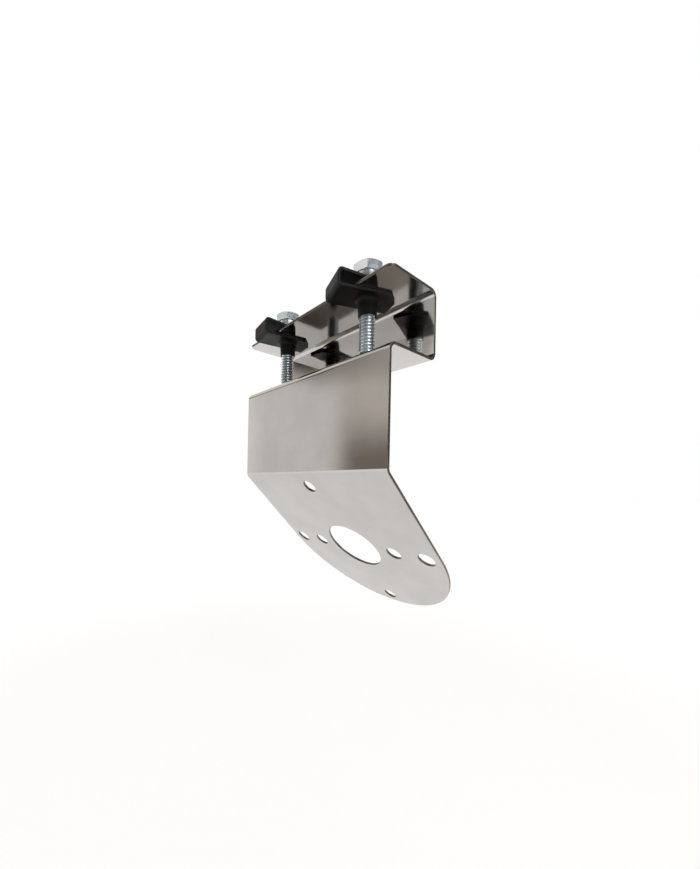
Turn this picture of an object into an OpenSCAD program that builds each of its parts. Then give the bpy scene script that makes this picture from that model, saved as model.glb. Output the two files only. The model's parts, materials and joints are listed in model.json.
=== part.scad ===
// Clamp-on mounting bracket: a bent stainless sheet with a channel that goes over a lip,
// two clamp bolts in clip nuts, and a sloping plate with a round end that carries a device.
// X runs along the bracket, +Y points away from the channel's mouth, +Z is up.
// The origin is on the seat face, halfway along the bracket, on the line of the bolt holes.

/* [Bracket sheet] */
// Length of the bracket along X
bracket_l = 96; // [80:1:120]
// Thickness of the sheet
sheet_t = 1.2; // [1:0.1:1.6]
// Inside radius of every bend
bend_r = 2; // [1.5:0.1:3]

/* [Channel] */
// Height of the channel, seat face to the top flange's upper face
channel_h = 26; // [22:0.5:30]
// Depth of the lower flange, front face to rear face
channel_d = 27; // [26:0.5:32]
// Depth of the top flange, from the channel's rear face to its free edge
top_flange_d = 26.8; // [26:0.1:28]
// Radius of the top flange's free corners
flange_corner_r = 3; // [1:0.5:5]
// Distance from the front face to the line of the bolt holes
bolt_line = 10.5; // [10:0.1:11.5]
// Distance between the two bolt holes in the top flange
bolt_spacing = 55; // [50:1:60]
// Diameter of the oversize bolt holes, which let a clip nut settle off centre
flange_hole_d = 9.4; // [9:0.1:10]

/* [Front plate and sloping plate] */
// Height of the front plate, seat face to the lower bend's outer corner
front_h = 44; // [35:1:60]
// Angle by which the sloping plate leans back from the vertical
slope_angle = 45; // [30:1:60]
// Distance down the slope from the lower bend's outer corner to the centre of the big hole
slope_centre = 48.6; // [46:0.1:56]
// Distance down the slope from the lower bend's outer corner to the round end's centre
end_centre = 47.8; // [44:0.1:56]
// Diameter of the big hole
big_hole_d = 29.3; // [20:0.1:34]
// Pitch circle of the four outer holes
outer_pcd = 82; // [74:1:84]
// Pitch circle of the two inner holes
inner_pcd = 49; // [44:1:56]
// Diameter of the two outer holes that lie on the long axis
side_hole_d = 7.6; // [4:0.1:8]
// Diameter of the two outer holes above and below the big hole
end_hole_d = 6.4; // [4:0.1:8]
// Diameter of the two inner holes
inner_hole_d = 7.2; // [4:0.1:8]

/* [Bolts] */
// Outside diameter of the quarter-inch thread
thread_d = 6.35; // [6:0.01:6.5]
// Length of a bolt under its head
bolt_l = 31; // [28:0.1:31]
// Width of the hexagonal head across its flats
head_af = 11.1; // [10:0.1:12]
// Height of the head
head_h = 4; // [3.5:0.1:4.5]
// Where the right bolt stands from the centre of its hole: X and Y
right_offset = [0.9, -0.4];
// Where the left bolt stands from the centre of its hole: X and Y
left_offset = [0.8, -0.1];

/* [Washers] */
// Diameter of the hole in both kinds of washer
washer_hole_d = 6.9; // [6.8:0.1:7.2]
// Outside diameter of the flat washer
flat_washer_d = 14; // [13:0.1:14.5]
// Thickness of the flat washer
flat_washer_t = 1.6; // [1:0.1:1.7]
// Outside diameter of the spring washer
spring_washer_d = 11; // [10.6:0.1:12.2]
// Thickness of the spring washer
spring_washer_t = 1.6; // [1.4:0.1:1.7]
// Width of the spring washer's split
split_w = 0.8; // [0.4:0.1:1.2]

/* [Clip nuts] */
// Width of a clip nut
clip_w = 13.8; // [12:0.1:15]
// Thickness of the clip nut's sheet
clip_t = 1.05; // [0.8:0.05:1.2]
// Inside radius of the clip nut's bends
clip_bend_r = 0.8; // [0.5:0.1:1]
// Distance from the bolt to the outside of the clip nut's closed end
clip_front = 15.2; // [15:0.1:16]
// Distance from the bolt to the rear edge of the threaded leg
clip_rear = 11.1; // [9:0.1:11.2]
// Slanted corner on the threaded leg's rear edge: across the width and along the length
clip_corner = [5.4, 4.4];
// Diameter of the clearance hole in the plain leg
plain_hole_d = 7.6; // [7:0.1:9]
// Height of the right clip nut at its closed end
right_clip_h = 7.1; // [6.5:0.1:8]
// Height of the left clip nut at its closed end
left_clip_h = 7.8; // [6.5:0.1:8]
// Angle by which the plain leg slopes down towards its rear edge
leg_slope = 6.8; // [5:0.1:8]
// Length of the drawn, threaded barrel below the threaded leg
barrel_l = 6.7; // [5:0.1:8]
// Outside radius of the barrel at its root
barrel_root_r = 3.95; // [3.9:0.05:4.2]
// Outside radius of the barrel at its end
barrel_end_r = 3.6; // [3.6:0.05:3.8]
// Angle at which the right clip nut stands, clockwise from square seen from above
right_turn = 21.8; // [0:0.1:21.8]
// Angle at which the left clip nut stands, clockwise from square seen from above
left_turn = 9; // [0:0.1:21.8]

/* [Fits] */
// Radial clearance between a bolt and its threaded barrel
thread_fit = 0.05; // [0.02:0.01:0.1]
// Gap between faces that lie on each other in different bodies
face_gap = 0.05; // [0.03:0.01:0.1]

/* [Hidden] */
$fn = 96;

// Distance that a sharp corner loses to its bend, on the outside of the sheet
function setback(angle, inner_r, t) = (inner_r + t) * tan(angle / 2);

// The bracket's outer faces, measured from the bolt line and the seat face
front_y = -bolt_line;
rear_y = front_y + channel_d;
flange_top = channel_h;
flange_under = flange_top - sheet_t;
right_angle_loss = setback(90, bend_r, sheet_t);
slope_loss = setback(slope_angle, bend_r, sheet_t);

// The bolt axes
right_axis = [bolt_spacing / 2, 0] + right_offset;
left_axis = [-bolt_spacing / 2, 0] + left_offset;

// The clip nut's threaded leg lies just under the top flange
leg_top = flange_under - face_gap;
leg_under = leg_top - clip_t;
plain_leg_l = 24.2;
// Largest angle between neighbouring facets of a bend
bend_step = 6;
// Flare of the barrel into the threaded leg: its height and its width
cone_h = 2;
cone_w = 1.8;
// Height of the cone at a bolt's tip, and of the chamfer on its head
tip_h = 0.8;
chamfer_h = 0.6;
// Angles at which the bolt heads and the spring washers' splits stand
right_head_turn = 10;
left_head_turn = 20;
split_turn = 200;

// Height of the plain leg's upper face at a distance behind the closed end
function plain_leg_z(clip_h, behind) = leg_under + clip_h - behind * tan(leg_slope);

// Heights of the washers and of the bolt head over a clip nut of a given height
function flat_washer_z(clip_h) =
    plain_leg_z(clip_h, clip_front - flat_washer_d / 2) + face_gap;
function spring_washer_z(clip_h) = flat_washer_z(clip_h) + flat_washer_t;
function head_z(clip_h) = spring_washer_z(clip_h) + spring_washer_t + face_gap;

// Directions along and to the left of a heading
function along(heading) = [cos(heading), sin(heading)];
function left_of(heading) = [-sin(heading), cos(heading)];

// One face of a bent sheet seen from its side, as [point, heading] pairs. The sheet lies to the
// left of this face. Each step is a straight length and then the bend after it, where a
// positive angle turns left, so that this face is the outer one in the bend
function bent_path(steps, t, inner_r, pos, heading, i = 0) =
    let (
        turn = steps[i][1],
        side = turn < 0 ? -1 : 1,
        r = turn < 0 ? inner_r : inner_r + t,
        end = pos + steps[i][0] * along(heading),
        centre = end + side * r * left_of(heading),
        parts = ceil(abs(turn) / bend_step),
        bend = [
            for (k = [0:parts])
                let (h = heading + (parts == 0 ? 0 : turn * k / parts))
                    [centre - side * r * left_of(h), h]
        ]
    )
    i == len(steps) - 1 ? [[pos, heading], [end, heading]] : concat(
        [[pos, heading]],
        [for (k = [0:parts - 1]) bend[k]],
        bent_path(steps, t, inner_r, bend[parts][0], heading + turn, i + 1)
    );

// Side view of the bent sheet
module bent_strip(steps, t, inner_r, pos, heading) {
    path = bent_path(steps, t, inner_r, pos, heading);
    last = len(path) - 1;
    polygon(concat(
        [for (p = path) p[0]],
        [for (k = [0:last]) path[last - k][0] + t * left_of(path[last - k][1])]
    ));
}

// ---- bracket ----

// The whole bent strip, still square at its lower end, from the foot of the slope upwards
module bent_sheet() {
    slope_l = end_centre + bracket_l / 2;
    start = [front_y, -front_h]
        + slope_l * [sin(slope_angle), -cos(slope_angle)]
        + sheet_t * [cos(slope_angle), sin(slope_angle)];
    steps = [
        [slope_l - slope_loss, -slope_angle],
        [front_h - slope_loss - right_angle_loss, -90],
        [channel_d - 2 * right_angle_loss, 90],
        [channel_h + sheet_t - 2 * right_angle_loss, 90],
        [top_flange_d - right_angle_loss, 0]
    ];
    translate([-bracket_l / 2, 0, 0])
        rotate([90, 0, 90])
            linear_extrude(bracket_l)
                bent_strip(steps, sheet_t, bend_r, start, 90 + slope_angle);
}

// Places its children on the sloping plate: X along the bracket, Y down the slope from the
// lower bend's outer corner, and Z through the plate, from its front face to its rear face
module on_slope() {
    translate([0, front_y, -front_h])
        rotate([slope_angle - 90, 0, 0]) children();
}

module plate_hole(x, y, d) {
    translate([x, y, -2 * sheet_t]) cylinder(d = d, h = 4 * sheet_t);
}

// What is cut out of the sloping plate: the corners outside its round end, and its holes
module slope_cuts() {
    translate([0, end_centre, -2 * sheet_t])
        linear_extrude(4 * sheet_t)
            difference() {
                translate([-bracket_l, 0]) square([2 * bracket_l, bracket_l]);
                circle(d = bracket_l);
            }
    plate_hole(0, slope_centre, big_hole_d);
    for (side = [-1, 1]) {
        plate_hole(side * outer_pcd / 2, slope_centre, side_hole_d);
        plate_hole(0, slope_centre + side * outer_pcd / 2, end_hole_d);
        plate_hole(side * inner_pcd / 2, slope_centre, inner_hole_d);
    }
}

// What is cut off a free corner of the top flange to round it
module corner_cut() {
    difference() {
        translate([0, -flange_corner_r, -sheet_t])
            cube([2 * flange_corner_r, 2 * flange_corner_r, 3 * sheet_t]);
        translate([0, flange_corner_r, -2 * sheet_t])
            cylinder(r = flange_corner_r, h = 5 * sheet_t);
        translate([-flange_corner_r, flange_corner_r, -2 * sheet_t])
            cube([4 * flange_corner_r, 2 * flange_corner_r, 5 * sheet_t]);
    }
}

module bracket() {
    free_edge_y = rear_y - top_flange_d;
    color("silver")
        difference() {
            bent_sheet();
            on_slope() slope_cuts();
            for (side = [-1, 1]) {
                translate([side * bolt_spacing / 2, 0, flange_under - sheet_t])
                    cylinder(d = flange_hole_d, h = 3 * sheet_t);
                mirror([side < 0 ? 1 : 0, 0, 0])
                    translate([bracket_l / 2 - flange_corner_r, free_edge_y, flange_under])
                        corner_cut();
            }
        }
}

// ---- clip nuts ----

// Both legs and the closed end, with the bolt axis as origin and the closed end towards -Y
module clip_sheet(clip_h) {
    outer_r = clip_bend_r + clip_t;
    top_turn = 90 + leg_slope;
    steps = [
        [clip_front + clip_rear - setback(90, clip_bend_r, clip_t), -90],
        [clip_h - outer_r - setback(top_turn, clip_bend_r, clip_t), -top_turn],
        [plain_leg_l - setback(top_turn, clip_bend_r, clip_t), 0]
    ];
    translate([-clip_w / 2, 0, 0])
        rotate([90, 0, 90])
            linear_extrude(clip_w)
                bent_strip(steps, clip_t, clip_bend_r, [clip_rear, leg_top], 180);
}

// The corner that is slanted off both legs' rear edge
module clip_corner_cut(clip_h) {
    past = 0.2 * clip_corner;
    translate([clip_w / 2, clip_rear, leg_under - clip_t])
        linear_extrude(clip_h + 2 * clip_t)
            polygon([
                [past[0], -clip_corner[1] - past[1]],
                [past[0], past[1]],
                [-clip_corner[0] - past[0], past[1]]
            ]);
}

module clip_nut(axis, turn, clip_h) {
    bore_r = thread_d / 2 + thread_fit;
    barrel_z = leg_under - barrel_l;
    color("dimgray")
        translate([axis[0], axis[1], 0])
            rotate(-turn)
                difference() {
                    union() {
                        clip_sheet(clip_h);
                        translate([0, 0, barrel_z])
                            cylinder(r1 = barrel_end_r, r2 = barrel_root_r, h = barrel_l);
                        translate([0, 0, leg_under - cone_h])
                            cylinder(r1 = barrel_root_r, r2 = barrel_root_r + cone_w, h = cone_h);
                    }
                    translate([0, 0, barrel_z - clip_t])
                        cylinder(r = bore_r, h = barrel_l + 3 * clip_t);
                    translate([0, 0, leg_top + clip_t])
                        cylinder(d = plain_hole_d, h = clip_h + clip_t);
                    clip_corner_cut(clip_h);
                }
}

module clip_nut_right() { clip_nut(right_axis, right_turn, right_clip_h); }
module clip_nut_left() { clip_nut(left_axis, left_turn, left_clip_h); }

// ---- washers ----

module washer_ring(axis, z, d, t) {
    translate([axis[0], axis[1], z])
        difference() {
            cylinder(d = d, h = t);
            translate([0, 0, -t]) cylinder(d = washer_hole_d, h = 3 * t);
        }
}

module flat_washer(axis, clip_h) {
    color("lightsteelblue")
        washer_ring(axis, flat_washer_z(clip_h), flat_washer_d, flat_washer_t);
}

module spring_washer(axis, clip_h) {
    z = spring_washer_z(clip_h);
    color("lightsteelblue")
        difference() {
            washer_ring(axis, z, spring_washer_d, spring_washer_t);
            translate([axis[0], axis[1], z - spring_washer_t])
                rotate(split_turn) translate([0, -split_w / 2, 0])
                    cube([spring_washer_d, split_w, 3 * spring_washer_t]);
        }
}

module flat_washer_right() { flat_washer(right_axis, right_clip_h); }
module flat_washer_left() { flat_washer(left_axis, left_clip_h); }
module spring_washer_right() { spring_washer(right_axis, right_clip_h); }
module spring_washer_left() { spring_washer(left_axis, left_clip_h); }

// ---- bolts ----

module hex_bolt(axis, clip_h, turn) {
    corner_r = head_af / 2 / cos(30);
    z = head_z(clip_h);
    color("lightsteelblue")
        translate([axis[0], axis[1], z])
            rotate(turn)
                union() {
                    intersection() {
                        cylinder(r = corner_r, h = head_h, $fn = 6);
                        union() {
                            cylinder(r = corner_r + tip_h, h = head_h - chamfer_h);
                            translate([0, 0, head_h - chamfer_h])
                                cylinder(
                                    r1 = corner_r, r2 = corner_r - chamfer_h / tan(30), h = chamfer_h
                                );
                        }
                    }
                    translate([0, 0, tip_h - bolt_l]) cylinder(d = thread_d, h = bolt_l - tip_h);
                    translate([0, 0, -bolt_l])
                        cylinder(d1 = thread_d - 2 * tip_h, d2 = thread_d, h = tip_h);
                }
}

module hex_bolt_right() { hex_bolt(right_axis, right_clip_h, right_head_turn); }
module hex_bolt_left() { hex_bolt(left_axis, left_clip_h, left_head_turn); }

bracket();
clip_nut_right();
clip_nut_left();
flat_washer_right();
flat_washer_left();
spring_washer_right();
spring_washer_left();
hex_bolt_right();
hex_bolt_left();
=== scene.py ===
import json
import math

import bpy
from mathutils import Matrix, Vector
from mathutils.geometry import delaunay_2d_cdt


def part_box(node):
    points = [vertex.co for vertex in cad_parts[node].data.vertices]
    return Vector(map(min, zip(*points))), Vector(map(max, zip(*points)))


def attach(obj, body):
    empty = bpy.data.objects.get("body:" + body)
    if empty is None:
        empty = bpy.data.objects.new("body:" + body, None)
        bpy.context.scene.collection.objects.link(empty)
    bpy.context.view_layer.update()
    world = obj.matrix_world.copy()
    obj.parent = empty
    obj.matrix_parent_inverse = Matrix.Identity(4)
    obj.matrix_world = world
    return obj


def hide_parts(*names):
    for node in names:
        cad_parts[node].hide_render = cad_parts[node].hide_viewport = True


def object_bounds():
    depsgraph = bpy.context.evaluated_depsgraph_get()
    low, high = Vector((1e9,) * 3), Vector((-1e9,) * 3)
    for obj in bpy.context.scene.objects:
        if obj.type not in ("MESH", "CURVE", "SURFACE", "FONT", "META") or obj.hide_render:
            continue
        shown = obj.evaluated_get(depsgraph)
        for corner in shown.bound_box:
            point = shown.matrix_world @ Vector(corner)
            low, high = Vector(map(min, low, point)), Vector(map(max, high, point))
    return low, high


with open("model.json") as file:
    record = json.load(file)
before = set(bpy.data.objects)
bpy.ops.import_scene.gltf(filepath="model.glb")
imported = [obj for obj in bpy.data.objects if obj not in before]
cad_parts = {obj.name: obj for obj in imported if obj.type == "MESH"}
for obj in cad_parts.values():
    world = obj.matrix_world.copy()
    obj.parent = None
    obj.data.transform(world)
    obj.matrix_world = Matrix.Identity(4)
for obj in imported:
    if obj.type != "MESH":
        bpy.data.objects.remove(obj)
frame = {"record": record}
cad_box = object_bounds()
record = frame["record"]
mounts = {m["name"]: m for m in record["mounts"]}
joints = {j["name"]: j for j in record["behaviour"]["joints"]}
MM = 0.001  # metres in a millimetre
WELD = 3371.377  # steps per millimetre in which two points count as one
GRID = 1024  # steps per millimetre that flat patterns are rounded to
UP = Vector((0, 0, 1))
NEAR = 0.001  # millimetres along a flat pattern that count as the same place
STRAIGHT_ON = 0.97  # a loop's sides whose directions agree this well have no corner between
SAME_CURVE = 0.86  # runs of a turned profile whose normals agree this well are one curve
MITRE = 0.7  # least cosine that a corner's outward direction is lengthened by
BEND_PARTS, CLIP_BEND_PARTS = 16, 12  # facets around a bend
WASHER_PARTS, SPRING_PARTS, BOLT_PARTS = 96, 90, 60  # facets around a washer or a bolt
THIRTY = math.pi / 6


# ---- mesh helpers: everything is built in millimetres, with a normal for each face corner ----


class Soup:
    """Collects faces, welds their points by place, and keeps the exact normal of each corner."""

    def __init__(self):
        self.points, self.found, self.faces, self.normals, self.slots = [], {}, [], [], []

    def point(self, co):
        key = tuple(round(c * WELD) for c in co)
        if key not in self.found:
            self.found[key] = len(self.points)
            self.points.append(tuple(co))
        return self.found[key]

    def face(self, corners, slot=0):
        """corners are (place, normal) pairs, counter-clockwise from outside."""
        ids, normals = [], []
        for co, n in corners:
            i = self.point(co)
            if i not in ids:
                ids.append(i)
                normals.append(n)
        if len(ids) < 3:
            return
        if normals[0] is None:
            a, b, c = (Vector(self.points[i]) for i in ids[:3])
            flat = (b - a).cross(c - a)
            if len(ids) == 4:
                flat += (c - a).cross(Vector(self.points[ids[3]]) - a)
            normals = [flat.normalized()] * len(ids)
        self.faces.append(ids)
        self.normals += [tuple(Vector(n).normalized()) for n in normals]
        self.slots.append(slot)

    def build(self, name, materials, matrix=Matrix.Identity(4)):
        mesh = bpy.data.meshes.new(name)
        turn = matrix.to_3x3()
        mesh.from_pydata([tuple((matrix @ Vector(p)) * MM) for p in self.points], [], self.faces)
        for material in materials:
            mesh.materials.append(material)
        mesh.polygons.foreach_set("material_index", self.slots)
        mesh.polygons.foreach_set("use_smooth", [True] * len(self.faces))
        mesh.normals_split_custom_set([tuple(turn @ Vector(n)) for n in self.normals])
        mesh.update()
        obj = bpy.data.objects.new(name, mesh)
        bpy.context.scene.collection.objects.link(obj)
        return obj


def snap(v):
    """A flat pattern's measure on its grid, so that shared points match exactly."""
    return round(v * GRID) / GRID


def ahead(a):
    """One step in a direction."""
    return (math.cos(a), math.sin(a))


def left(a):
    """One step to the left of a direction."""
    return (-math.sin(a), math.cos(a))


def turned(r, a):
    """The point at a radius and angle."""
    return (r * math.cos(a), r * math.sin(a))


def around(count):
    """The angles of a full turn in equal steps."""
    return [2 * math.pi * k / count for k in range(count)]


def quarter(parts):
    """The angles of a quarter turn in equal steps, both ends included."""
    return [math.pi / 2 * k / parts for k in range(parts + 1)]


class Strip:
    """A bent sheet's side view, made from the same runs and bends as the CAD source. u runs
    along the flat pattern; the sheet lies to the left of its first face."""

    def __init__(self, steps, thickness, inner_r, start, heading, bend_parts=BEND_PARTS):
        self.t, self.parts, rows, u = thickness, [], [0.0], 0.0
        pos = start
        for length, turn in steps:
            a = ahead(heading)
            self.parts.append((u, length, pos, heading, 0.0, 0.0))
            pos, u = (pos[0] + length * a[0], pos[1] + length * a[1]), u + length
            rows.append(u)
            if turn:
                arm = (inner_r + thickness) if turn > 0 else -inner_r
                arc, side = abs(turn) * (inner_r + thickness / 2), left(heading)
                centre = (pos[0] + arm * side[0], pos[1] + arm * side[1])
                self.parts.append((u, arc, centre, heading, turn, arm))
                rows += [u + arc * (k + 1) / bend_parts for k in range(bend_parts)]
                heading, u = heading + turn, u + arc
                side = left(heading)
                pos = (centre[0] - arm * side[0], centre[1] - arm * side[1])
        self.length = u
        self.rows = [snap(r) for r in rows]

    def at(self, u):
        """First face's point in the side view, and the heading there."""
        start, length, origin, heading, turn, arm = [p for p in self.parts if p[0] <= u + NEAR][-1]
        if turn:
            a = heading + turn * (u - start) / length
            side = left(a)
            return (origin[0] - arm * side[0], origin[1] - arm * side[1]), a
        a = ahead(heading)
        return (origin[0] + (u - start) * a[0], origin[1] + (u - start) * a[1]), heading

    def place(self, x, u, depth):
        """The bent sheet's point for a place in the flat pattern and a depth under its face."""
        p, a = self.at(u)
        side = left(a)
        return (x, p[0] + depth * side[0], p[1] + depth * side[1])

    def lay(self, u, dx, du, out):
        """A direction in the flat pattern, laid onto the bent sheet."""
        _, a = self.at(u)
        f, side = ahead(a), left(a)
        return Vector((dx, du * f[0] - out * side[0], du * f[1] - out * side[1]))


def circle(cx, cy, r, count):
    return [(snap(cx + r * math.cos(a)), snap(cy + r * math.sin(a))) for a in around(count)]


def rounded(loop, r):
    """Rounds a loop's sharp corners a little."""
    parts, result = 3, []
    for i, p in enumerate(loop):
        p, a, b = Vector(p), Vector(loop[i - 1]), Vector(loop[(i + 1) % len(loop)])
        e1, e2 = (p - a).normalized(), (b - p).normalized()
        if e1.dot(e2) > STRAIGHT_ON:
            result.append((snap(p[0]), snap(p[1])))
            continue
        for k in range(parts + 1):
            f = k / parts
            q = (1 - f) ** 2 * (p - r * e1) + 2 * f * (1 - f) * p + f * f * (p + r * e2)
            result.append((snap(q[0]), snap(q[1])))
    return result


def outward(loop):
    """Direction out of a counter-clockwise loop at each of its points, longer at a corner."""
    result = []
    for i, p in enumerate(loop):
        p, a, b = Vector(p), Vector(loop[i - 1]), Vector(loop[(i + 1) % len(loop)])
        e1, e2 = (p - a).normalized(), (b - p).normalized()
        n1 = Vector((e1[1], -e1[0]))
        n = (n1 + Vector((e2[1], -e2[0]))).normalized()
        result.append(n / max(MITRE, n.dot(n1)))
    return result


def inside(p, ring):
    """Whether a point lies in a loop: a line from it crosses the loop an odd number of times."""
    hit = False
    for i in range(len(ring)):
        a, b = ring[i - 1], ring[i]
        if (a[1] > p[1]) != (b[1] > p[1]):
            if p[0] < (b[0] - a[0]) * (p[1] - a[1]) / (b[1] - a[1]) + a[0]:
                hit = not hit
    return hit


def bent_sheet(soup, strip, outline, holes, rim, band, drawn=None):
    """A bent sheet with rounded cut edges. outline and holes are counter-clockwise loops in the
    flat pattern. rim is how far the rounding reaches in from a cut edge, and band is how much of
    the edge's thickness is burnished. drawn is a hole that differs in the two faces, left open
    for a barrel. Material slots: 0 faces, 1 burnished band and rounded rims, 2 torn band."""
    t, half = strip.t, max(p[0] for p in outline)
    walls = [(outline, outward(outline), 1)] + [(h, outward(h), -1) for h in holes]
    rims = []
    for loop, ns, sign in walls:
        rims.append([(snap(p[0] - sign * rim * n[0]), snap(p[1] - sign * rim * n[1]))
                     for p, n in zip(loop, ns)])
    for face in (0, 1):
        rings = rims + ([drawn[face]] if drawn else [])
        coords, edges = [], []
        for ring in rings:
            first = len(coords)
            coords += [Vector(p) for p in ring]
            edges += [(first + i, first + (i + 1) % len(ring)) for i in range(len(ring))]
        for u in strip.rows[1:-1]:
            edges.append((len(coords), len(coords) + 1))
            coords += [Vector((snap(rim - half), u)), Vector((snap(half - rim), u))]
        found, _, tris, _, _, _ = delaunay_2d_cdt(coords, edges, [], 0, 1e-6)
        for tri in tris:
            c = [sum(found[i][k] for i in tri) / 3 for k in (0, 1)]
            if not inside(c, rings[0]) or any(inside(c, r) for r in rings[1:]):
                continue
            corners = [(strip.place(*found[i], face * t),
                        strip.lay(found[i][1], 0, 0, 1 - 2 * face)) for i in tri]
            (a, _), (b, _), (d, _) = corners
            up = (Vector(b) - Vector(a)).cross(Vector(d) - Vector(a)).dot(corners[0][1])
            soup.face(corners if up > 0 else corners[::-1])
    for (loop, ns, sign), ring in zip(walls, rims):
        for i in range(len(loop)):
            columns = []
            for k in (i, (i + 1) % len(loop)):
                p, n, q = loop[k], sign * ns[k], ring[k]
                wall, out = strip.lay(p[1], n[0], n[1], 0), strip.lay(p[1], 0, 0, 1)
                column = [(strip.place(q[0], q[1], 0), out)]
                column += [(strip.place(p[0], p[1], d), wall) for d in (rim, band * t, t - rim)]
                columns.append(column + [(strip.place(q[0], q[1], t), -out)])
            a, b = columns
            for s, slot in enumerate((1, 1, 2, 1)):
                quad = [a[s], b[s], b[s + 1], a[s + 1]]
                foot = Vector(a[s][0])
                flat = (Vector(b[s][0]) - foot).cross(Vector(a[s + 1][0]) - foot)
                soup.face(quad if flat.dot(a[s][1] + a[s + 1][1]) > 0 else quad[::-1], slot)


def revolve(soup, profile, count, spot=turned):
    """Turns a profile of (radius, height) about the Z axis. It runs with its outside on the
    right-hand side. Neighbouring runs at less than about 30 degrees are shaded as one curve.
    spot places a point of a given radius and angle."""
    runs, angles = [], around(count)
    for (r1, z1), (r2, z2) in zip(profile, profile[1:]):
        d = Vector((r2 - r1, z2 - z1)).normalized()
        runs.append(Vector((d[1], -d[0])))
    for k, n in enumerate(runs):
        n1 = (n + runs[k - 1]).normalized() if k and n.dot(runs[k - 1]) > SAME_CURVE else n
        n2 = n
        if k + 1 < len(runs) and n.dot(runs[k + 1]) > SAME_CURVE:
            n2 = (n + runs[k + 1]).normalized()
        for i in range(count):
            quad = []
            for j, (r, z), m in ((i, profile[k], n1), (i + 1, profile[k], n1),
                                 (i + 1, profile[k + 1], n2), (i, profile[k + 1], n2)):
                a = angles[j % count]
                quad.append(((*spot(r, a), z), Vector((*turned(m[0], a), m[1]))))
            soup.face(quad)


# ---- materials ----


def nodes_of(material):
    material.use_nodes = True
    tree = material.node_tree
    return tree, tree.nodes["Principled BSDF"]


def add(tree, kind, values=None, **settings):
    """A new node. Each of its values is a number, a colour, or another node's socket."""
    node = tree.nodes.new(kind)
    for key, value in settings.items():
        setattr(node, key, value)
    for key, value in (values or {}).items():
        if isinstance(value, bpy.types.NodeSocket):
            tree.links.new(value, node.inputs[key])
        else:
            node.inputs[key].default_value = value
    return node


def noise(tree, size, detail, roughness=0.5, stretch=(1, 1, 1)):
    """Noise over the object's own space. A larger size gives smaller spots."""
    place = add(tree, "ShaderNodeTexCoord").outputs["Object"]
    drawn_out = add(tree, "ShaderNodeMapping", {"Vector": place, "Scale": stretch})
    values = {"Vector": drawn_out.outputs["Vector"], "Scale": size, "Detail": detail,
              "Roughness": roughness}
    return add(tree, "ShaderNodeTexNoise", values).outputs["Fac"]


def ranged(tree, value, a, b, low, high, smooth=False):
    """A value that goes from a to b, made to go from low to high and no further."""
    values = {"Value": value, "From Min": a, "From Max": b, "To Min": low, "To Max": high}
    kind = "SMOOTHSTEP" if smooth else "LINEAR"
    return add(tree, "ShaderNodeMapRange", values, interpolation_type=kind).outputs["Result"]


def math_node(tree, operation, a, b):
    return add(tree, "ShaderNodeMath", {0: a, 1: b}, operation=operation).outputs[0]


def mixed(tree, factor, a, b):
    """Two colours mixed. 6, 7 and 2 are the colour sockets of the Mix node."""
    return add(tree, "ShaderNodeMix", {0: factor, 6: a, 7: b}, data_type="RGBA").outputs[2]


def bumped(tree, shader, height, strength, distance):
    """Lets a height stand out of the shader's surface."""
    values = {"Height": height, "Strength": strength, "Distance": distance}
    bump = add(tree, "ShaderNodeBump", values)
    tree.links.new(bump.outputs["Normal"], shader.inputs["Normal"])


def metal(name, light, dark, rough, grain, grain_depth, wave_depth=0.0):
    """A metal with clouded colour, streaked roughness, a fine grain and a few dull scuffs.
    rough is its least and greatest roughness, grain is the stretch of the streaks along X, Y
    and Z, and the depths are those of the grain and of the sheet's waves."""
    cloud_size, streak_size, scuff_size, wave_size, scuff_share = 55.0, 420.0, 160.0, 28.0, 0.35
    material = bpy.data.materials.new(name)
    tree, shader = nodes_of(material)
    shader.inputs["Metallic"].default_value = 1.0
    clouds = ranged(tree, noise(tree, cloud_size, 4.0), 0.35, 0.65, 0.0, 1.0)
    colour = mixed(tree, clouds, (*dark, 1), (*light, 1))
    tree.links.new(colour, shader.inputs["Base Color"])
    streaks = noise(tree, streak_size, 3.0, 0.6, grain)
    scuffs = ranged(tree, noise(tree, scuff_size, 6.0, 0.7), 0.62, 0.74, 0.0, 1.0, True)
    dullness = math_node(tree, "ADD", ranged(tree, streaks, 0.3, 0.7, *rough),
                         math_node(tree, "MULTIPLY", scuffs, rough[1] * scuff_share))
    tree.links.new(dullness, shader.inputs["Roughness"])
    height = math_node(tree, "MULTIPLY", streaks, grain_depth)
    if wave_depth:
        waves = math_node(tree, "MULTIPLY", noise(tree, wave_size, 1.0), wave_depth)
        height = math_node(tree, "ADD", height, waves)
    bumped(tree, shader, height, 1.0, 0.001)
    return material


steel = metal("stainless_face", (0.565, 0.55, 0.535), (0.515, 0.498, 0.483), (0.055, 0.105),
              (0.12, 1.0, 1.0), 0.0006, 0.012)
# Cut-edge bands: a real burnished band and torn band, both made far darker than the steel as
# painted shade along the sheet's edges.
steel_rim_painted_shade = metal("stainless_burnished", (0.34, 0.305, 0.27), (0.22, 0.195, 0.17), (0.2, 0.34),
                  (1, 1, 1), 0.012)
steel_torn_painted_shade = metal("stainless_torn", (0.17, 0.145, 0.125), (0.09, 0.077, 0.066), (0.34, 0.52),
                   (1, 1, 1), 0.04)
zinc = metal("zinc_plate", (0.74, 0.80, 0.82), (0.62, 0.68, 0.71), (0.14, 0.24), (1, 1, 1), 0.004)
# Darker zinc for the thread roots and the flanks next to them: painted shade in the thread's
# hollows.
zinc_root_painted_shade = metal("zinc_thread_root", (0.42, 0.46, 0.47), (0.20, 0.22, 0.23), (0.3, 0.5),
                  (1, 1, 1), 0.01)
zinc_dull = metal("zinc_washer", (0.60, 0.63, 0.66), (0.46, 0.49, 0.52), (0.2, 0.34),
                  (1, 1, 1), 0.01)


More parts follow.
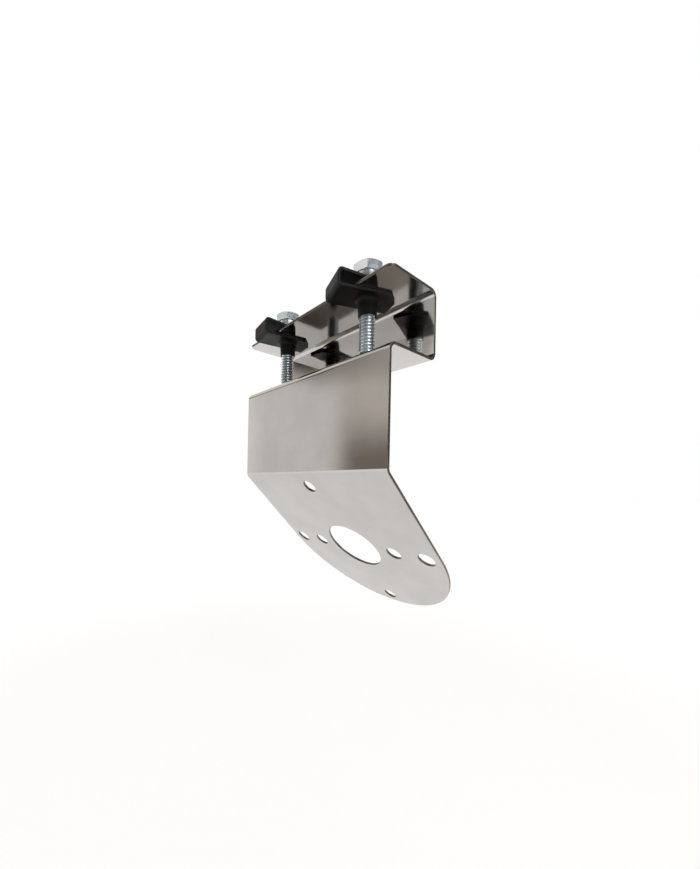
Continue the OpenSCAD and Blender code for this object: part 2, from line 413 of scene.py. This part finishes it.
def coated(name, base, worn, rough):
    """Satin black coating: orange peel, clouded roughness, and a little wear."""
    cloud_size, wear_size, peel_size = 130.0, 240.0, 1400.0
    material = bpy.data.materials.new(name)
    tree, shader = nodes_of(material)
    shader.inputs["Specular IOR Level"].default_value = 0.14
    wear = ranged(tree, noise(tree, wear_size, 5.0, 0.65), 0.56, 0.74, 0.0, 1.0, True)
    tree.links.new(mixed(tree, wear, (*base, 1), (*worn, 1)), shader.inputs["Base Color"])
    dullness = ranged(tree, noise(tree, cloud_size, 4.0), 0.3, 0.7, *rough)
    tree.links.new(dullness, shader.inputs["Roughness"])
    bumped(tree, shader, noise(tree, peel_size, 2.0), 0.35, 0.0001)
    return material


black = coated("clip_black", (0.0028, 0.0027, 0.0026), (0.008, 0.0076, 0.0072), (0.36, 0.52))
black_edge = coated("clip_black_edge", (0.020, 0.0195, 0.019), (0.07, 0.067, 0.063), (0.3, 0.45))
black_torn = coated("clip_black_torn", (0.011, 0.0107, 0.0105), (0.032, 0.030, 0.028), (0.45, 0.6))

# ---- bracket: the sizes that the frame gives, and the others in millimetres ----

low, high = (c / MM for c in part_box("bracket"))
half_l, front_y, top_z = high[0], low[1], high[2]
hole = mounts["device_hole"]
sheet_t = hole["dims"]["length_mm"]
bend_r = 2.0
flange_d = 26.8
flange_corner_r = 3.0
flange_hole_r = 4.7
hole_spacing = 55.0
edge_round, edge_burnished = 0.13, 0.42
end_parts, corner_parts = 96, 12  # facets of the round end, and of a flange corner
large_parts, small_parts = 128, 48  # facets of the large hole, and of the other holes
rear_y = mounts["lip_stop"]["pos_m"][1] / MM + sheet_t
lean = math.atan2(-hole["axis"][2], -hole["axis"][1])
slope_dir = Vector((math.sin(lean), -math.cos(lean)))
face_point = [c / MM for c in mounts["device_face"]["pos_m"]]
front_h = -face_point[2] - (face_point[1] - front_y) / math.tan(lean)
slope_l = (-low[2] - front_h) / math.cos(lean)
hole_v = Vector((hole["pos_m"][1] / MM - front_y, hole["pos_m"][2] / MM + front_h)).dot(slope_dir)
square_loss = bend_r + sheet_t
slope_loss = square_loss * math.tan(lean / 2)
foot = (front_y + slope_l * slope_dir[0] + sheet_t * math.cos(lean),
        -front_h + slope_l * slope_dir[1] + sheet_t * math.sin(lean))
strip = Strip([(slope_l - slope_loss, -lean),
               (front_h - slope_loss - square_loss, -math.pi / 2),
               (rear_y - front_y - 2 * square_loss, math.pi / 2),
               (top_z + sheet_t - 2 * square_loss, math.pi / 2),
               (flange_d - square_loss, 0)],
              sheet_t, bend_r, foot, math.pi / 2 + lean)


def bracket_outline():
    """The flat pattern: the round end, the two sides with a point at each facet of a bend, and
    the flange's two round corners."""
    half_turn = [math.pi * k / end_parts for k in range(end_parts + 1)]
    corner = [turned(flange_corner_r, a) for a in quarter(corner_parts)]
    corner_x, corner_u = half_l - flange_corner_r, strip.length - flange_corner_r
    sides = [u for u in strip.rows if half_l < u < corner_u]
    loop = [(-half_l * math.cos(a), half_l - half_l * math.sin(a)) for a in half_turn]
    loop += [(half_l, u) for u in sides]
    loop += [(corner_x + x, corner_u + u) for x, u in corner]
    loop += [(-corner_x - x, corner_u + u) for x, u in reversed(corner)]
    loop += [(-half_l, u) for u in reversed(sides)]
    return [(snap(x), snap(u)) for x, u in loop]


def bracket_holes():
    """The large hole, and in pairs the outer, the inner and the bolts' holes."""
    centre_u = slope_l - hole_v
    bolt_u = strip.length - (flange_d - rear_y)
    side, ends, inner = (mounts[name]["dims"] for name in
                         ("outer_holes_side", "outer_holes_end", "inner_holes"))
    loops = [circle(0, centre_u, hole["dims"]["r_mm"], large_parts)]
    for s in (-1, 1):
        for x, u, r in ((s * side["pcd_mm"] / 2, centre_u, side["hole_r_mm"]),
                        (0, centre_u + s * ends["pcd_mm"] / 2, ends["hole_r_mm"]),
                        (s * inner["pcd_mm"] / 2, centre_u, inner["hole_r_mm"]),
                        (s * hole_spacing / 2, bolt_u, flange_hole_r)):
            loops.append(circle(x, u, r, small_parts))
    return loops


soup = Soup()
bent_sheet(soup, strip, bracket_outline(), bracket_holes(), edge_round, edge_burnished)
# The rounded rims and both edge bands take the darkened steel: painted shade along the cut edges.
sheet = soup.build("bent_bracket", [steel, steel_rim_painted_shade, steel_torn_painted_shade])
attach(sheet, "bracket")
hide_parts("bracket")

# ---- clip nuts, washers and bolts, in millimetres ----

clip_w, clip_t, clip_bend_r = 13.8, 1.05, 0.8
clip_front, clip_rear, plain_leg_l = 15.2, 11.1, 24.2
clip_cut = (5.4, 4.4)  # the slanted corner, across and along the clip nut
leg_slope = math.radians(6.8)
plain_hole_r, bore_r = 3.8, 3.225
barrel_l, barrel_root_r, barrel_end_r, flare_h, flare_w = 6.7, 3.95, 3.6, 2.0, 1.8
bore_lead = 0.25  # the bore's own chamfer
face_gap = 0.05  # left between the flange and the threaded leg
leg_top = top_z - sheet_t - face_gap
barrel_soft = 0.04  # unit of the barrel's softened end
barrel_parts, flare_parts = 64, 8  # facets around the barrel, and along its flared root
clip_corner_r, clip_edge_round, clip_burnished = 0.35, 0.14, 0.5
thread_r, pitch = 3.175, 1.27
head_af, head_h, head_chamfer, tip_chamfer = 11.1, 4.0, 0.6, 0.8
washer_hole_r, split_w = 3.45, 0.8
split_slant, split_at = 0.14, math.radians(200)


def clip_nut(clip_h):
    """A U bent from sheet: a threaded leg with one slanted corner and a drawn barrel, a back
    clip_h high, and a plain leg that slopes down."""
    loss = clip_bend_r + clip_t
    leg_loss = loss * math.tan((math.pi / 2 + leg_slope) / 2)
    s = Strip([(clip_front + clip_rear - loss, -math.pi / 2),
               (clip_h - loss - leg_loss, -math.pi / 2 - leg_slope),
               (plain_leg_l - leg_loss, 0)],
              clip_t, clip_bend_r, (clip_rear, leg_top), math.pi, CLIP_BEND_PARTS)
    h = clip_w / 2
    tip_y = s.at(s.length)[0][0]
    tip_cut = max(0.0, tip_y - (clip_rear - clip_cut[1]))
    tip_x = clip_cut[0] * tip_cut / clip_cut[1]
    inner_rows = s.rows[1:-1]
    loop = [(h - clip_cut[0], 0), (h, clip_cut[1])]
    loop += [(h, u) for u in inner_rows]
    loop += [(h, s.length - tip_cut / math.cos(leg_slope)), (h - tip_x, s.length), (-h, s.length)]
    loop += [(-h, u) for u in reversed(inner_rows)] + [(-h, 0)]
    loop = rounded(loop, clip_corner_r)
    leg_u = s.parts[-1][0]
    leg_y = s.parts[-1][2][0]
    hole_u = leg_u - leg_y / math.cos(leg_slope)
    drawn = (circle(0, clip_rear, bore_r + bore_lead, barrel_parts),
             circle(0, clip_rear, barrel_root_r + flare_w, barrel_parts))
    soup = Soup()
    bent_sheet(soup, s, loop, [circle(0, hole_u, plain_hole_r, barrel_parts)], clip_edge_round,
               clip_burnished, drawn)
    under = leg_top - clip_t
    bottom = under - barrel_l
    profile = [(bore_r + bore_lead, leg_top), (bore_r, leg_top - bore_lead),
               (bore_r, bottom + bore_lead), (bore_r + 3 * barrel_soft, bottom + barrel_soft),
               (barrel_end_r - 3.5 * barrel_soft, bottom),
               (barrel_end_r - barrel_soft, bottom + barrel_soft),
               (barrel_end_r, bottom + 4 * barrel_soft)]
    profile += [(barrel_root_r + flare_w * (1 - math.cos(a)), under - flare_h * (1 - math.sin(a)))
                for a in quarter(flare_parts)]

    def on_grid(r, a):
        """A turned point on the flat pattern's grid, so that barrel and leg share their rim."""
        return snap(r * math.cos(a)), clip_rear - snap(clip_rear - r * math.sin(a))

    revolve(soup, profile, barrel_parts, on_grid)
    return soup


def flat_washer(z, d, hole_r, t):
    """Stamped washer: rolled edge on top, sharper below."""
    r, top = d / 2, z + t
    roll_r, roll_parts, lead, low_lead, low_edge = 0.32, 6, 0.15, 0.1, 0.12
    profile = [(hole_r + lead, top), (hole_r, top - lead), (hole_r, z + low_lead),
               (hole_r + low_lead, z), (r - low_edge, z), (r, z + low_edge)]
    profile += [(r - roll_r * (1 - math.cos(a)), top - roll_r * (1 - math.sin(a)))
                for a in quarter(roll_parts)]
    soup = Soup()
    revolve(soup, profile + profile[:1], WASHER_PARTS)
    return soup


def spring_washer(z, d, hole_r, t, split, slant, at):
    """Ring with chamfered long edges and a gap. The gap is split wide and stands at the angle
    at, and slant is the angle that it leans by over the thickness."""
    r, e, soup = d / 2, 0.15, Soup()
    section = [(hole_r, e), (hole_r + e, 0), (r - e, 0), (r, e), (r, t - e), (r - e, t),
               (hole_r + e, t), (hole_r, t - e)]
    count, gap = SPRING_PARTS, split / r
    rings = []
    for k in range(count + 1):
        ring = []
        for q, h in section:
            lean_a = slant * (h / t - 0.5)
            a = at + gap / 2 + lean_a + (2 * math.pi - gap) * k / count
            ring.append((Vector((*turned(q, a), z + h)), a))
        rings.append(ring)
    size = len(section)
    for k in range(count):
        for m in range(size):
            n = (m + 1) % size
            d2 = Vector((section[n][0] - section[m][0], section[n][1] - section[m][1])).normalized()
            quad = []
            for p, a in (rings[k][m], rings[k][n], rings[k + 1][n], rings[k + 1][m]):
                quad.append((p, Vector((*turned(d2[1], a), -d2[0]))))
            soup.face(quad[::-1])
    soup.face([(p, None) for p, _ in rings[0]])
    soup.face([(p, None) for p, _ in rings[-1]][::-1])
    return soup


def hex_bolt(tip_z, under_z, top_z):
    """Fully threaded hex bolt in one closed mesh: 60 degree thread, coned tip, chamfered head."""
    soup, count = Soup(), BOLT_PARTS
    depth = 0.6134 * pitch
    crest, root = 0.14 * pitch, 0.16 * pitch
    flank = (pitch - crest - root) / 2
    soft, near_crest, near_root = 0.1 * flank, 0.14, 0.93
    # places along one pitch, with how much of the depth the surface lies below the crest there
    profile = [(0, 0), (crest, 0), (crest + soft, near_crest), (crest + flank - soft, near_root),
               (crest + flank, 1), (crest + flank + root, 1), (pitch - flank + soft, near_root),
               (pitch - soft, near_crest)]
    rows, painted_shade_rows = len(profile), (2, 3, 4, 5)
    tip_r = thread_r - 1.15 * tip_chamfer

    def radius(z, a):
        """Thread surface at a height and angle, cut by the tip's cone."""
        f = (z - tip_z - pitch * a / (2 * math.pi)) % pitch
        for k in range(rows):
            z1, d1 = profile[k]
            z2, d2 = profile[k + 1] if k + 1 < rows else (pitch, 0)
            if f <= z2:
                r = thread_r - depth * (d1 + (d2 - d1) * (f - z1) / (z2 - z1))
                break
        return min(r, tip_r + (z - tip_z))

    turns = int((under_z - tip_z) / pitch) + 2
    grid = []
    for i in range(count + 1):
        a = 2 * math.pi * i / count
        column = []
        for j in range(-1, turns):
            for k in range(rows):
                z = tip_z + pitch * (j + a / (2 * math.pi)) + profile[k][0]
                z = min(max(z, tip_z), under_z)
                column.append(Vector((*turned(radius(z, a), a), z)))
        grid.append(column)
    grid[-1] = grid[0][rows:] + [grid[0][-1]] * rows
    for i in range(count):
        for k in range(len(grid[0]) - 1):
            quad = (grid[i][k], grid[i + 1][k], grid[i + 1][k + 1], grid[i][k + 1])
            # faces in the roots and the flanks next to them take the darker zinc, painted shade in
            # the hollows
            soup.face([(p, None) for p in quad], int(k % rows in painted_shade_rows))
    feet, tops = [c[0] for c in grid[:-1]], [c[-1] for c in grid[:-1]]
    for i in range(count):
        soup.face([(feet[i], -UP), ((0, 0, tip_z), -UP), (feet[(i + 1) % count], -UP)])

    # head: washer face, hexagon with softened corners, top coned at thirty degrees
    face_in, face_rise, corner_cut, edge_drop, edge_in = 0.15, 0.25, 0.16, 0.07, 0.1
    middle_share = 0.6  # radius of the ring inside the flat top, for each unit of the cone's
    face_r, corner_r = head_af / 2 - face_in, head_af / 2 / math.cos(THIRTY)
    cone_r = corner_r - head_chamfer / math.tan(THIRTY)
    angles = around(count)

    def flat_r(a):
        """Radius of the softened hexagon."""
        off = (a + THIRTY) % (2 * THIRTY) - THIRTY
        return min(head_af / 2 / math.cos(THIRTY - abs(off)), corner_r - corner_cut)

    def flat_n(a):
        """Normal of the flat at an angle."""
        return Vector((*ahead((math.floor(a / (2 * THIRTY)) + 0.5) * 2 * THIRTY), 0))

    def cone_z(r):
        """Height of the head's top at a radius."""
        return top_z - max(0, r - cone_r) * math.tan(THIRTY)

    def ring(places):
        """One point for each of the angles, from its radius and height."""
        return [Vector((*turned(r, a), z)) for a, (r, z) in zip(angles, places)]

    flats = [flat_r(a) for a in angles]
    under = ring([(face_r, under_z)] * count)
    hips = ring([(r, under_z + face_rise) for r in flats])
    brow = ring([(r, cone_z(r) - edge_drop) for r in flats])
    edge = ring([(r - edge_in, cone_z(r - edge_in)) for r in flats])
    crown = ring([(cone_r - edge_in, top_z)] * count)
    middle = ring([(cone_r * middle_share, top_z)] * count)
    for i, a in enumerate(angles):
        j = (i + 1) % count
        n = flat_n(a + math.pi / count)
        n1, n2 = (Vector((*turned(math.sin(THIRTY), b), math.cos(THIRTY)))
                  for b in (a, a + 2 * math.pi / count))
        soup.face([(p, -UP) for p in (under[i], under[j], tops[j], tops[i])])
        soup.face([(p, None) for p in (hips[j], hips[i], under[i], under[j])])
        soup.face([(p, n) for p in (hips[i], hips[j], brow[j], brow[i])])
        soup.face([(p, None) for p in (brow[i], brow[j], edge[j], edge[i])])
        soup.face([(edge[i], n1), (edge[j], n2), (crown[j], n2), (crown[i], n1)])
        soup.face([(p, UP) for p in (crown[i], crown[j], middle[j], middle[i])])
        soup.face([(p, UP) for p in (middle[i], middle[j], (0, 0, top_z))])
    return soup


# the two clamps: how far the clip nut is turned, its height, and how far the head is turned
for side_name, turn, clip_h, head_turn in (("right", 21.8, 7.1, 10), ("left", 9.0, 7.8, 20)):
    pos = joints[side_name + "_bolt_turn"]["pos_m"]
    axis = Matrix.Translation((pos[0] / MM, pos[1] / MM, 0))
    nut = clip_nut(clip_h).build(
        "clip_" + side_name + "_bent", [black, black_edge, black_torn],
        axis @ Matrix.Rotation(-math.radians(turn), 4, "Z"))
    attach(nut, "clip_" + side_name)
    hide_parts("clip_nut_" + side_name)
    low, high = (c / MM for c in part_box("flat_washer_" + side_name))
    flat_ring = flat_washer(low[2], high[0] - low[0], washer_hole_r, high[2] - low[2])
    washer = flat_ring.build("washer_flat_" + side_name, [zinc_dull], axis)
    low, high = (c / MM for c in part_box("spring_washer_" + side_name))
    split_ring = spring_washer(low[2], high[0] - low[0], washer_hole_r, high[2] - low[2],
                               split_w, split_slant, split_at)
    spring = split_ring.build("washer_spring_" + side_name, [zinc_dull], axis)
    for piece, node in ((washer, "flat_washer_"), (spring, "spring_washer_")):
        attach(piece, "washers_" + side_name)
        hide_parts(node + side_name)
    low, high = (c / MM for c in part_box("hex_bolt_" + side_name))
    bolt = hex_bolt(low[2], high[2] - head_h, high[2]).build(
        "bolt_" + side_name, [zinc, zinc_root_painted_shade],
        axis @ Matrix.Rotation(math.radians(head_turn), 4, "Z"))
    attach(bolt, "bolt_" + side_name)
    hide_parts("hex_bolt_" + side_name)

# ---- studio: floor, surroundings, lights ----

floor_gap, floor_r = 0.16, 12.0
near_r, far_r = 0.4, 0.9  # the floor goes from a darker colour near the object, a painted shade under it, to a paler one between these
mesh = bpy.data.meshes.new("studio_floor")
rim = [Vector((*turned(floor_r, a), cad_box[0][2] - floor_gap)) for a in around(64)]
mesh.from_pydata(rim, [], [list(range(len(rim)))])
floor = bpy.data.objects.new("studio_floor", mesh)
bpy.context.scene.collection.objects.link(floor)
floor_painted_shade_material = bpy.data.materials.new("studio_floor")
tree, shader = nodes_of(floor_painted_shade_material)
place = add(tree, "ShaderNodeNewGeometry").outputs["Position"]
reach = add(tree, "ShaderNodeVectorMath", {0: place}, operation="LENGTH").outputs["Value"]
outer = ranged(tree, reach, near_r, far_r, 0.0, 1.0, True)
# Darker floor near the object and paler further out: painted shade under the object.
floor_painted_shade_colour = mixed(tree, outer, (0.845, 0.842, 0.84, 1), (0.95, 0.95, 0.95, 1))
tree.links.new(floor_painted_shade_colour, shader.inputs["Base Color"])
shader.inputs["Roughness"].default_value = 0.9
shader.inputs["Specular IOR Level"].default_value = 0.0
mesh.materials.append(floor_painted_shade_material)

world = bpy.data.worlds.new("studio")
bpy.context.scene.world = world
world.use_nodes = True
tree = world.node_tree
background = tree.nodes["Background"]
toward = add(tree, "ShaderNodeTexCoord").outputs["Generated"]


def along_axis(axis):
    """How far a ray of the surroundings goes along a direction, from -1 to 1."""
    values = {0: toward, 1: axis}
    return add(tree, "ShaderNodeVectorMath", values, operation="DOT_PRODUCT").outputs["Value"]


def beyond(value, start, full):
    """0 up to a start value and 1 from a full one, with a smooth edge between."""
    return ranged(tree, value, start, full, 0.0, 1.0, True)


def below(value, full, end):
    """1 up to a full value and 0 from an end one, with a smooth edge between."""
    return ranged(tree, value, full, end, 1.0, 0.0, True)


def both(a, b):
    return math_node(tree, "MULTIPLY", a, b)


def spot(azimuth, elevation, radius, soft):
    """1 inside a round patch of the surroundings, 0 outside it, all in degrees."""
    a, e = math.radians(azimuth), math.radians(elevation)
    axis = (*turned(math.cos(e), a), math.sin(e))
    inner, outer = (math.cos(math.radians(r)) for r in (radius, radius + soft))
    return beyond(along_axis(axis), outer, inner)


def painted(room, layers):
    """The surroundings with layers over them. Each layer is a mask and a colour."""
    for mask, colour in layers:
        room = mixed(tree, mask, room, (*colour, 1))
    return room


# the direction that the front plate mirrors, and how far a ray lies to its dark side
mirror_az = math.radians(219)
front = along_axis((*ahead(mirror_az), 0))
across = along_axis((*left(mirror_az), 0))
rise = along_axis(tuple(UP))
ceiling = (0.62, 0.605, 0.59)

# what the front plate, the slope and the channel mirror
room = painted((1.0, 0.985, 0.965, 1), (
    (beyond(across, -0.19, -0.15), (0.85, 0.825, 0.80)),
    (beyond(across, 0.02, 0.10), (0.68, 0.63, 0.585)),
    (both(beyond(across, 0.035, 0.12), below(rise, 0.07, 0.23)), (0.24, 0.20, 0.18)),
    (beyond(rise, 0.27, 0.34), (0.47, 0.44, 0.405)),
    (beyond(rise, 0.40, 0.50), (0.93, 0.87, 0.80)),
    (spot(219, 26, 4, 8), (0.35, 0.33, 0.30)),
    (spot(217.5, 22, 2.5, 2.5), (0.05, 0.045, 0.04)),
    (beyond(rise, 0.6, 0.8), ceiling)))

# the other directions, with a dark side away from the front plate's
rest = painted((0.9, 0.92, 0.94, 1), (
    (beyond(across, -0.6, 0.3), (0.17, 0.17, 0.175)),
    (both(below(front, -0.8, -0.4), below(rise, 0.4, 0.6)), (0.20, 0.18, 0.165)),
    (beyond(rise, 0.6, 0.9), ceiling)))
room = mixed(tree, below(front, 0.35, 0.6), room, rest)

# soft boxes: azimuth, elevation and radius, and their colours
box_soft = 3
room = painted(room, [(spot(*place, box_soft), colour) for place, colour in (
    ((4, 17, 3.5), (4.2, 4.4, 4.5)),
    ((4, 23, 3.5), (4.2, 4.4, 4.5)),
    ((300, 22, 2.0), (3.4, 3.6, 3.7)),
    ((245, 20, 4.5), (2.3, 2.4, 2.5)))])
camera_ray = add(tree, "ShaderNodeLightPath").outputs["Is Camera Ray"]
tree.links.new(mixed(tree, camera_ray, room, (1, 1, 1, 1)), background.inputs["Color"])
background.inputs["Strength"].default_value = 1.0


def lamp(name, kind, colour, power):
    """A lamp of a kind, which its caller places and turns."""
    light = bpy.data.lights.new(name, kind)
    light.color, light.energy = colour, power
    obj = bpy.data.objects.new(name, light)
    bpy.context.scene.collection.objects.link(obj)
    return obj


above = lamp("soft_above", "SUN", (1.0, 0.995, 0.99), 1.95)
above.data.angle = math.radians(50)
above.rotation_euler = (math.radians(-28), math.radians(-22), 0)
above.visible_glossy = False  # it lights the floor, and no metal mirrors it

side_light = lamp("soft_side", "AREA", (0.95, 0.98, 1.0), 3.0)
side_light.data.shape, side_light.data.size = "DISK", 0.5
side_light.location = (1.1, -0.4, 0.5)
side_light.rotation_mode = "QUATERNION"
side_light.rotation_quaternion = (-side_light.location).to_track_quat("-Z", "Y")

# ---- camera at the photograph's viewing angle: its place in metres, its turns in degrees ----

camera_place = Vector((0.121675, -0.100825, -0.04898))
yaw, tilt, roll = (math.radians(a) for a in (50.492, 0.308, 1.172))
level_ahead = Vector((*left(yaw), 0))
level_right = Vector((*ahead(yaw), 0))
forward = level_ahead * math.cos(tilt) + UP * math.sin(tilt)
level_up = UP * math.cos(tilt) - level_ahead * math.sin(tilt)
right = level_right * math.cos(roll) + level_up * math.sin(roll)
up = level_up * math.cos(roll) - level_right * math.sin(roll)
camera = bpy.data.objects.new("camera", bpy.data.cameras.new("camera"))
camera.data.sensor_fit = "AUTO"
camera.data.sensor_width = 36.0
camera.data.lens = 14.4185
camera.data.shift_x, camera.data.shift_y = 0.037346, 0.056982
camera.data.clip_start, camera.data.clip_end = 0.005, 50.0
camera.data.dof.use_dof = False
facing = Matrix((right, up, -forward)).transposed().to_4x4()
camera.matrix_world = Matrix.Translation(camera_place) @ facing
bpy.context.scene.collection.objects.link(camera)
bpy.context.scene.camera = camera
bpy.context.scene.view_settings.view_transform = "Standard"
